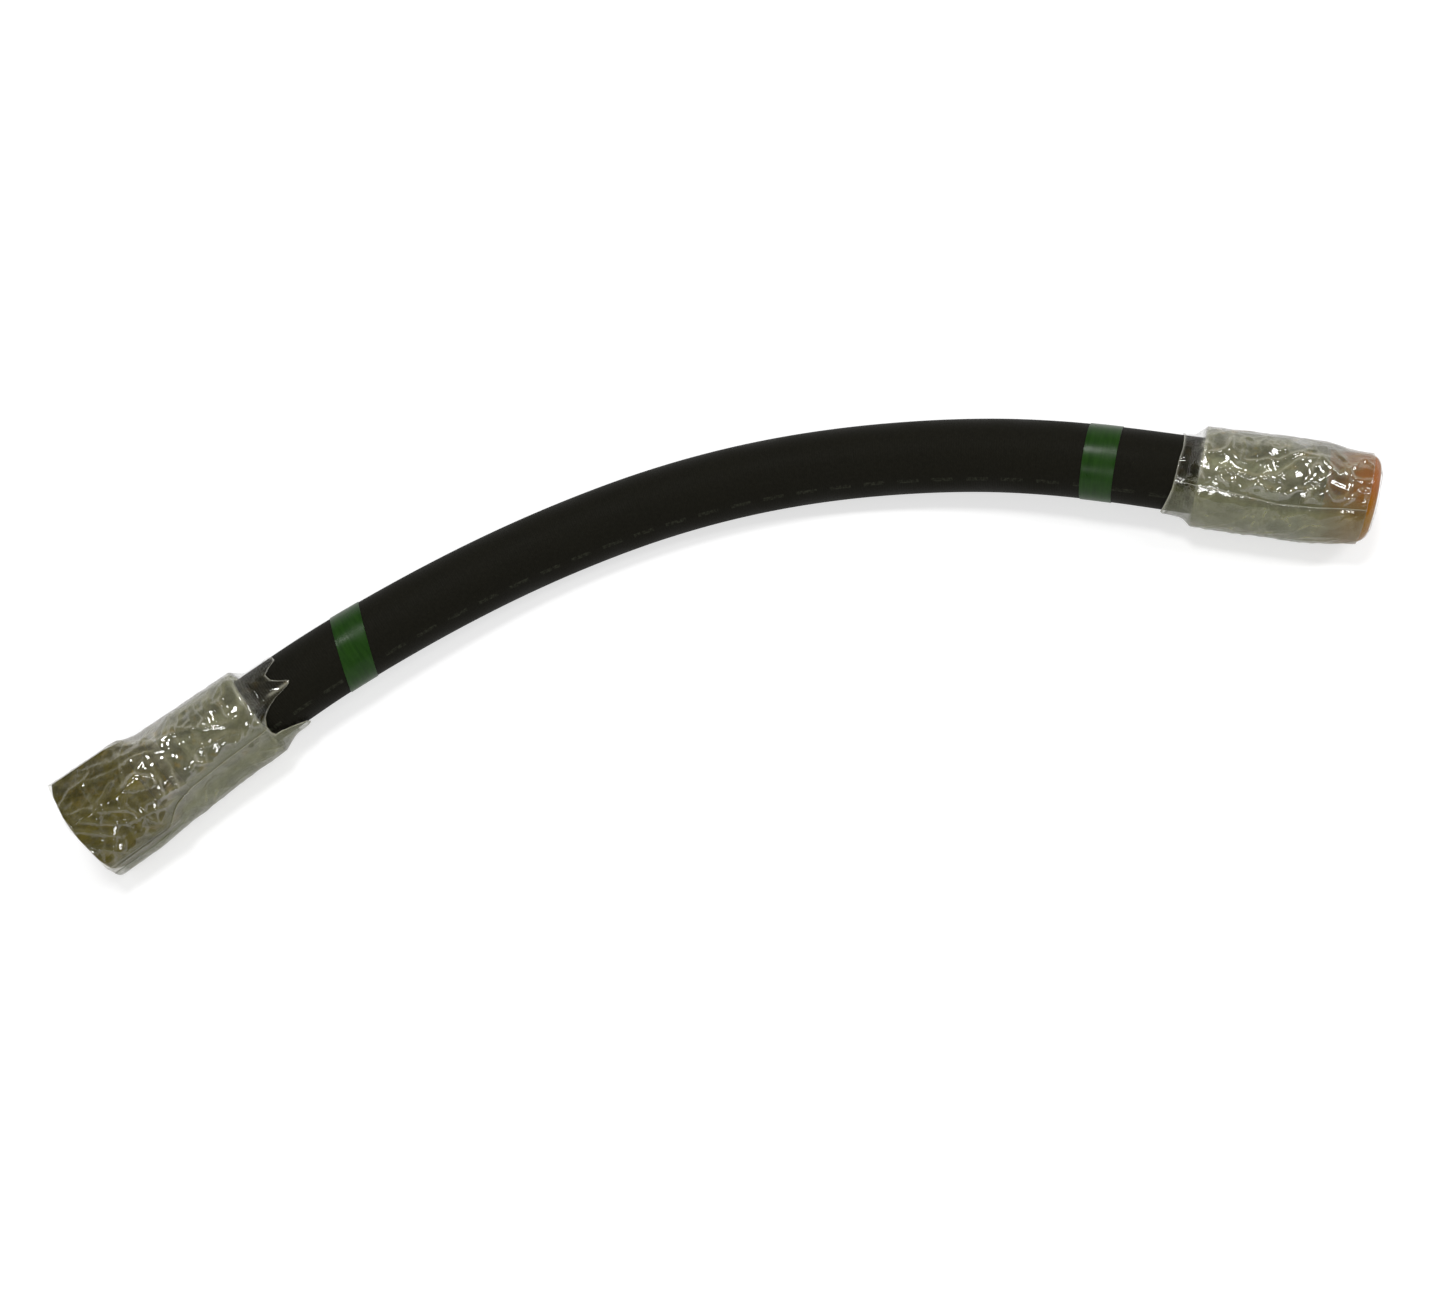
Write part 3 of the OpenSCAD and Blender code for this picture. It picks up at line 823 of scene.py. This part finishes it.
def hose_rubber():
    """Matt black rubber with the print of the cloth it was cured in, and a bare layline."""
    finish = Finish("hose_rubber", Specular_IOR_Level=0.06)
    skin = finish.place("skin")
    along = finish.parts(skin)[0]
    cloudy = finish.noise(skin, 14, 3)
    fine = finish.noise(skin, 0.9, 2, 0.6)
    base = finish.mix(cloudy, color(17, 16, 10), color(24, 23, 16))
    base = finish.mix(finish.level(fine, 0.35, 0.75, 0, 0.5), base, color(30, 29, 22))
    dash = finish.math("LESS_THAN", finish.math("MODULO", along, LAYLINE_PERIOD), LAYLINE_DASH)
    near = finish.math("LESS_THAN", finish.stored("layline"), LAYLINE_HALF_WIDTH)
    worn = finish.level(finish.noise(skin, 1.1, 3, 0.7), 0.42, 0.62)
    mark = finish.math("MULTIPLY", finish.math("MULTIPLY", dash, near), worn)
    base = finish.mix(finish.math("MULTIPLY", mark, 0.5), base, color(64, 66, 54))
    finish.put("Base Color", base)
    finish.put("Roughness", finish.level(cloudy, 0.3, 0.7, 0.55, 0.68))
    cloth = finish.math("ADD", finish.math("SINE", finish.math("MULTIPLY", along, 9.0)), fine)
    finish.bump(finish.math("MULTIPLY", cloth, 0.5), 0.05, 0.8)
    return finish


def plain_rubber():
    finish = Finish("tube_rubber", Specular_IOR_Level=0.3)
    grain = finish.noise(finish.place(), 0.8, 3)
    finish.put("Base Color", finish.mix(grain, color(18, 18, 18), color(30, 30, 29)))
    finish.put("Roughness", finish.level(grain, 0.3, 0.7, 0.4, 0.6))
    finish.bump(grain, 0.03)
    return finish


def braid_wire():
    """Fine crossing wires, seen only in a cut end."""
    finish = Finish("braid_wire", Metallic=1.0, Roughness=0.35)
    along, cosine, sine = finish.parts(finish.place("skin"))
    turn = finish.math("ARCTAN2", sine, cosine)
    along = finish.math("MULTIPLY", along, 6.0)
    turn = finish.math("MULTIPLY", turn, 36.0)
    ways = [finish.math("SINE", finish.math(way, along, turn)) for way in ("ADD", "SUBTRACT")]
    wires = finish.math("MAXIMUM", *ways)
    finish.put("Base Color", finish.mix(finish.level(wires, -0.2, 0.8), color(96, 84, 48),
                                        color(196, 178, 120)))
    finish.bump(wires, 0.1)
    return finish


def turned_steel(name, dark, light, tint, rough):
    """Plated steel with turning marks, soft blotches and duller, darker patches."""
    finish = Finish(name, Metallic=1.0)
    where = finish.place()
    blotch = finish.noise(where, 5, 3, 0.6)
    patch = finish.noise(finish.stretched(where, (1, 1, 1.7)), 2.2, 4, 0.65, 0.6)
    base = finish.mix(finish.level(blotch, 0.35, 0.65), dark, light)
    base = finish.mix(finish.level(patch, 0.52, 0.74, 0, 0.7), base, tint)
    finish.put("Base Color", base)
    finish.put("Roughness", finish.level(patch, 0.3, 0.7, rough, rough + 0.16))
    lines = finish.noise(finish.stretched(where, (6, 0.3, 0.3)), 1.0, 2, 0.5)
    finish.bump(finish.math("ADD", finish.math("MULTIPLY", lines, 0.4), patch), 0.05, 0.6)
    return finish


def cap_plastic():
    """Soft plastic, deep orange on top and golden below, with a few darker flecks."""
    finish = Finish("cap_plastic", Specular_IOR_Level=0.14)
    where = finish.place()
    height = finish.parts(where)[2]
    wavy = finish.math("ADD", height, finish.level(finish.noise(where, 5, 2), 0, 1, -3, 3))
    base = finish.mix(finish.level(wavy, 18.5, 23.5), color(160, 114, 4), color(166, 90, 8))
    fleck = finish.level(finish.noise(where, 1.3, 2, 0.6), 0.60, 0.72, 0, 0.5)
    base = finish.mix(fleck, base, color(150, 60, 4))
    finish.put("Base Color", base)
    finish.put("Roughness", finish.level(finish.noise(where, 3, 2), 0.3, 0.7, 0.34, 0.5))
    finish.bump(finish.noise(where, 0.7, 2), 0.03, 0.6)
    return finish


def green_tape():
    """Glossy stretched tape: faint lines along it, a dull bloom and small ripples."""
    finish = Finish("green_tape", Specular_IOR_Level=0.16)
    skin = finish.place("skin")
    lines = finish.noise(finish.stretched(skin, (1, 0.12, 1)), 0.9, 3, 0.6)
    bloom = finish.noise(skin, 5, 3)
    base = finish.mix(finish.level(lines, 0.3, 0.7), color(20, 52, 6), color(32, 66, 14))
    base = finish.mix(finish.level(bloom, 0.5, 0.75, 0, 0.5), base, color(36, 66, 22))
    finish.put("Base Color", base)
    finish.put("Roughness", finish.level(bloom, 0.3, 0.7, 0.26, 0.4))
    finish.bump(finish.math("ADD", lines, finish.noise(skin, 2.5, 2)), 0.05, 0.7)
    return finish


def clear_film():
    """Thin stretch film: its facets catch the light and carry painted shade by their lean, its
    creases whiten, partly as painted glint, its edges and some golden spots carry painted glints,
    and it dulls what it covers double.
    """
    finish = Finish("clear_film", IOR=3.0, Roughness=0.08)
    where = finish.place()
    haze, crease_white_and_glint, painted_glint = finish.stored("haze"), finish.stored("crease_white_and_glint"), finish.stored("painted_glint")
    cloudy = finish.noise(where, 3.5, 3, 0.6)
    # Painted facet shade: the dark and light colours stand in for shade and light on the facets, by
    # how they lean.
    dark = finish.mix(finish.noise(where, 2.6, 1), color(46, 46, 30), color(56, 50, 42))
    light = finish.mix(finish.noise(where, 3.1, 1), color(176, 172, 118), color(180, 166, 136))
    facet = finish.mix(finish.level(finish.stored("painted_facet_shade"), 0.25, 0.8), dark, light)
    dull = finish.mix(finish.level(cloudy, 0.35, 0.65), color(98, 101, 64),
                      color(150, 152, 112))
    base = finish.mix(haze, facet, dull)
    base = finish.mix(0.66, base, finish.place("tint"))
    # Painted golden glints: warm spots where the film lies single.
    painted_gold_glint = finish.level(finish.noise(where, 2.4, 2, 0.6), 0.6, 0.68, 0, 0.5)
    painted_gold_glint = finish.math("MULTIPLY", painted_gold_glint, finish.level(haze, 0, 1, 1, 0))
    base = finish.mix(painted_gold_glint, base, color(176, 142, 34))
    # Creases whiten: partly the film's own stress-whitening, partly a painted glint.
    base = finish.mix(finish.math("MULTIPLY", crease_white_and_glint, 0.3), base, color(196, 192, 146))
    # Painted glint along the film's edges, its fold over the hose and the ferrule's mouth.
    base = finish.mix(finish.math("MULTIPLY", painted_glint, 0.7), base, color(206, 204, 182))
    finish.put("Base Color", base)
    facing = finish.add("LayerWeight", {"Blend": 0.3}, "Facing")
    veil = finish.math("MULTIPLY", finish.stored("veil"), finish.level(cloudy, 0.3, 0.7, 0.65, 1.3))
    clinging = finish.level(finish.stored("veil"), 0.02, 0.14, 0.25, 1)
    for part, share in [(crease_white_and_glint, 0.1), (facing, 0.2)]:
        added = finish.math("MULTIPLY", finish.math("MULTIPLY", part, share), clinging)
        veil = finish.math("ADD", veil, added)
    veil = finish.math("ADD", veil, finish.math("MULTIPLY", painted_glint, 0.36))
    finish.put("Alpha", finish.math("MINIMUM", veil, 0.85))
    finish.put("Specular IOR Level", finish.level(haze, 0, 1, 0.5, 0.14))
    finish.bump(finish.noise(where, 0.9, 3, 0.6), 0.07, 0.6)
    return finish


def dress_pieces():
    hose_rubber().dress(hose)
    plain_rubber().dress(tube, node["nose_seal"])
    braid_wire().dress(braid)
    green_tape().dress(left_tape, right_tape)
    zinc = turned_steel("zinc_steel", color(150, 148, 124), color(196, 192, 168),
                        color(120, 116, 84), 0.3)
    zinc.dress(node["left_insert"], node["thrust_wire"])
    ferrule = turned_steel("ferrule_steel", color(108, 110, 82), color(146, 148, 116),
                           color(92, 88, 46), 0.34)
    ferrule.dress(node["left_ferrule"], node["right_ferrule"])
    yellow = turned_steel("yellow_zinc", color(64, 59, 8), color(112, 101, 18),
                          color(50, 50, 8), 0.36)
    yellow.dress(nut, node["stud_fitting"])
    cap_plastic().dress(node["thread_cap"])
    clear_film().dress(left_film, right_film, cap_film)


dress_pieces()


# ---------------------------------------------------------------- floor and light

def make_floor():
    """A pale floor that reads white where it is lit and keeps the object's shadow."""
    corners = [(-1, -1), (1, -1), (1, 1), (-1, 1)]
    points = [(x * FLOOR_REACH, y * FLOOR_REACH, -FLOOR_DROP) for x, y in corners]
    floor = mesh_object("floor", points, [(0, 1, 2, 3)], closed=False)
    finish = Finish("floor", Roughness=0.9, Specular_IOR_Level=0.0)
    grain = finish.noise(finish.place(), 60, 2)
    finish.put("Base Color", finish.mix(grain, (0.52, 0.52, 0.52, 1), (0.54, 0.54, 0.54, 1)))
    finish.put("Emission Color", (1, 1, 1, 1))
    distance = finish.add("VectorMath", {0: finish.place()}, "Value", operation="LENGTH")
    glow = finish.level(distance, *FLOOR_GLOW_FADE, FLOOR_GLOW, 1.0)
    finish.put("Emission Strength", finish.math("MULTIPLY", finish.seen_share(), glow))
    finish.dress(floor)


def make_world():
    """White to the camera all round; mirrors see a darker ceiling and a dark front."""
    world = bpy.data.worlds.new("studio")
    bpy.context.scene.world = world
    world.use_nodes = True
    nodes = Nodes(world.node_tree)
    _, depth, height = nodes.parts(nodes.add("TexCoord", {}, "Generated"))
    room = nodes.math("MULTIPLY", nodes.level(height, 0.4, 0.75, 1.0, CEILING_SHADE),
                      nodes.level(depth, -0.75, -0.25, FRONT_SHADE, 1.0))
    shown = nodes.math("MAXIMUM", room, nodes.add("LightPath", {}, "Is Camera Ray"))
    light = world.node_tree.nodes["Background"].inputs
    nodes.join(light["Color"], (1, 1, 1, 1))
    nodes.join(light["Strength"], nodes.level(nodes.seen_share(), 0.0, 1.0, AMBIENT, shown))


def area_lamp(name, place, size, power):
    """A soft lamp that faces the middle; its size is its two widths."""
    data = bpy.data.lights.new(name, "AREA")
    data.shape = "ELLIPSE"
    data.size, data.size_y = size
    data.energy = power
    lamp = link(bpy.data.objects.new(name, data))
    lamp.location = place
    lamp.rotation_euler = (-Vector(place)).to_track_quat("-Z", "Y").to_euler()


make_floor()
make_world()
area_lamp("key", (0.02, 0.06, 0.85), (0.18, 0.18), 2.6)
area_lamp("front", (-0.25, -0.75, 0.5), (0.36, 0.07), 1.5)
area_lamp("side", (0.6, -0.1, 0.6), (0.07, 0.42), 1.3)
bpy.context.scene.view_settings.view_transform = "Standard"
